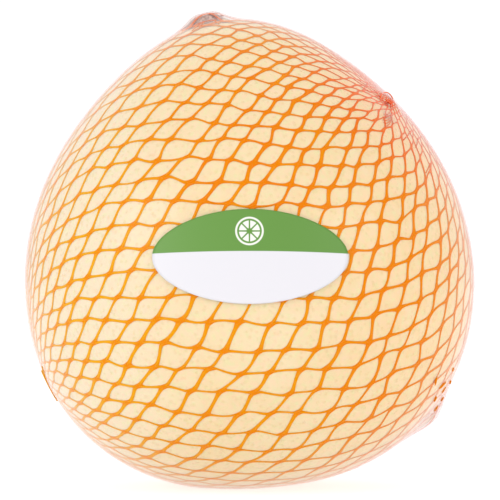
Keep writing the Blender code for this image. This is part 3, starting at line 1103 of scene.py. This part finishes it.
# A gather's middle, its reach in degrees, its number of folds, their height and their haze.
Gather = namedtuple("Gather", "way reach folds rise haze")


def gather_sheet(gather, random):
    """The points and haze of a round sheet of folds, fading out toward its edge."""
    polar = np.radians(np.linspace(GATHER_HEART, 1.0, GATHER_RINGS) * gather.reach)
    ways, polar, azimuth = rings_round(gather.way, polar, GATHER_COLUMNS)
    share = polar / polar.max()
    wander = sum(random.normal() * np.sin(turns * azimuth + 2.0 * share + random.normal())
                 for turns in (1, 2, 3))
    strength = 0.6 + 0.4 * np.sin(STRONG_STRETCHES * azimuth + 3.0 * random.normal())
    wave = np.sin(gather.folds * azimuth + wander + FOLD_SWIRL * share)
    ridge = strength * (0.5 + 0.5 * wave) ** FOLD_SHARPNESS
    fade = (1.0 - share ** 2) * np.minimum(1.0, 0.3 + 1.4 * share)
    height = GATHER_GAP + gather.rise * (ridge * fade * share).reshape(-1)
    points = layer(ways, FILM_LIFT, film_rise(ways) + height)
    return points, gather.haze * (fade * (0.25 + 0.75 * ridge)).reshape(-1)


def make_film_gathers(material):
    """The film's folds round the net's knot, over the stub and at the corner."""
    random = np.random.default_rng(SEED + 4)
    points, hazes, faces = [], [], []
    for gather in (Gather(seen_at(KNOT_FOLDS), 2.6, 9, 0.12 * MM, 0.14),
                   Gather(CORNER, 11.0, 19, 0.25 * MM, 0.05),
                   Gather(STEM, 7.5, 13, 0.30 * MM, 0.05)):
        sheet, haze = gather_sheet(gather, random)
        faces += grid_faces(GATHER_RINGS, GATHER_COLUMNS, sum(map(len, points)))
        points.append(sheet)
        hazes.append(haze)
    film = make_object("film_gathers", np.concatenate(points), faces, material)
    values = film.data.attributes.new(HAZE_ATTRIBUTE, "FLOAT", "POINT")
    values.data.foreach_set("value", np.concatenate(hazes))
    thicken_film(film)


# The label.

LABEL_WIDTH = 62.0 * MM
LABEL_HEIGHT = 29.2 * MM
LABEL_RISE = 2.4 * MM
LABEL_SHIFT = 0.8 * MM
LABEL_RINGS = 24
LABEL_COLUMNS = 120


def make_label():
    """The oval sticker: a disc of rings that lies on the film."""
    spread = np.linspace(1.0 / LABEL_RINGS, 1.0, LABEL_RINGS)[:, None]
    turn = 2 * np.pi * np.arange(LABEL_COLUMNS) / LABEL_COLUMNS
    across = spread * np.cos(turn) * LABEL_WIDTH / 2 + LABEL_SHIFT
    up = spread * np.sin(turn) * LABEL_HEIGHT / 2 + LABEL_RISE
    distance = WAIST_RADIUS + LABEL_LIFT
    ways = unit(np.stack((np.tan(across / distance), -np.ones_like(across),
                          np.tan(up / distance)), axis=-1)).reshape(-1, 3)
    points = layer(ways, LABEL_LIFT)
    middle = layer(unit(np.array(((LABEL_SHIFT / distance, -1.0, LABEL_RISE / distance),))), LABEL_LIFT)
    faces = grid_faces(LABEL_RINGS, LABEL_COLUMNS)
    faces += [(len(points), column, (column + 1) % LABEL_COLUMNS) for column in range(LABEL_COLUMNS)]
    label = make_object("label_sticker", np.concatenate((points, middle)), faces,
                        label_material())
    sheet = label.modifiers.new("Sheet", "SOLIDIFY")
    sheet.thickness = LABEL_THICKNESS
    sheet.offset = 1.0
    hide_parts("label")


# The studio.

# The floor: its size, how far it lies below the fruit, its shade, and the light it gives itself.
FLOOR_SIZE = 12.0
FLOOR_DROP = 0.2 * MM
FLOOR_SHADE = (0.45, 0.45, 0.45, 1.0)
FLOOR_GLOW = 0.72

# The light: places and sizes in metres, and power in watts.
WHITE = (1.0, 1.0, 1.0, 1.0)
SURROUND_STRENGTH = 1.07
LIGHT_SIZE = 0.9
LIGHT_AIM = Vector((0.0, 0.0, 0.08))
KEY_PLACE = (-1.3, -0.9, 0.6)
KEY_POWER = 4.6
FILL_PLACE = (1.2, -0.9, 0.6)
FILL_POWER = 2.8


def make_camera():
    """A long lens, level with the fruit's middle and framed as the photograph is."""
    tilt = math.radians(CAMERA_ELEVATION)
    back = Vector((0.0, -math.cos(tilt), math.sin(tilt)))
    data = bpy.data.cameras.new("camera")
    data.sensor_width = SENSOR_WIDTH
    data.lens = SENSOR_WIDTH * CAMERA_DISTANCE / FRAME_WIDTH
    camera = bpy.data.objects.new("camera", data)
    camera.location = CAMERA_AIM + back * CAMERA_DISTANCE
    camera.rotation_mode = "QUATERNION"
    camera.rotation_quaternion = (-back).to_track_quat("-Z", "Y")
    bpy.context.scene.collection.objects.link(camera)
    bpy.context.scene.camera = camera


def make_floor():
    """A plain pale floor that fades into the white round it."""
    bpy.ops.mesh.primitive_plane_add(size=FLOOR_SIZE, location=(0.0, 0.0, -FLOOR_DROP))
    floor = bpy.context.object
    floor.name = "floor"
    material, _, shader = new_material("floor_white")
    shader.inputs["Base Color"].default_value = FLOOR_SHADE
    shader.inputs["Roughness"].default_value = 0.9
    shader.inputs["Specular IOR Level"].default_value = 0.0
    shader.inputs["Emission Color"].default_value = WHITE
    shader.inputs["Emission Strength"].default_value = FLOOR_GLOW
    floor.data.materials.append(material)


def add_area_light(name, place, power):
    """A square soft light aimed at the fruit."""
    data = bpy.data.lights.new(name, "AREA")
    data.size = LIGHT_SIZE
    data.energy = power
    light = bpy.data.objects.new(name, data)
    light.location = place
    light.rotation_mode = "QUATERNION"
    light.rotation_quaternion = (LIGHT_AIM - Vector(place)).to_track_quat("-Z", "Y")
    bpy.context.scene.collection.objects.link(light)


def make_light():
    """Even white light from all round, and two soft lights, of which the left one is stronger."""
    world = bpy.data.worlds.new("studio")
    bpy.context.scene.world = world
    world.use_nodes = True
    background = world.node_tree.nodes["Background"]
    background.inputs["Color"].default_value = WHITE
    background.inputs["Strength"].default_value = SURROUND_STRENGTH
    add_area_light("key", KEY_PLACE, KEY_POWER)
    add_area_light("fill", FILL_PLACE, FILL_POWER)
    bpy.context.scene.view_settings.view_transform = "Standard"


make_camera()
make_light()
make_floor()
make_fruit()
net_plastic = net_material()
make_net(net_plastic)
make_knot(net_plastic)
make_ends(net_plastic)
make_stub_strands(net_plastic)
make_torn_bits(net_plastic)
make_film(film_material("clear_film", FILM_MIRROR_EDGE))
make_film_gathers(film_material("folded_film", FOLD_MIRROR_EDGE))
make_label()
bpy.context.view_layer.update()
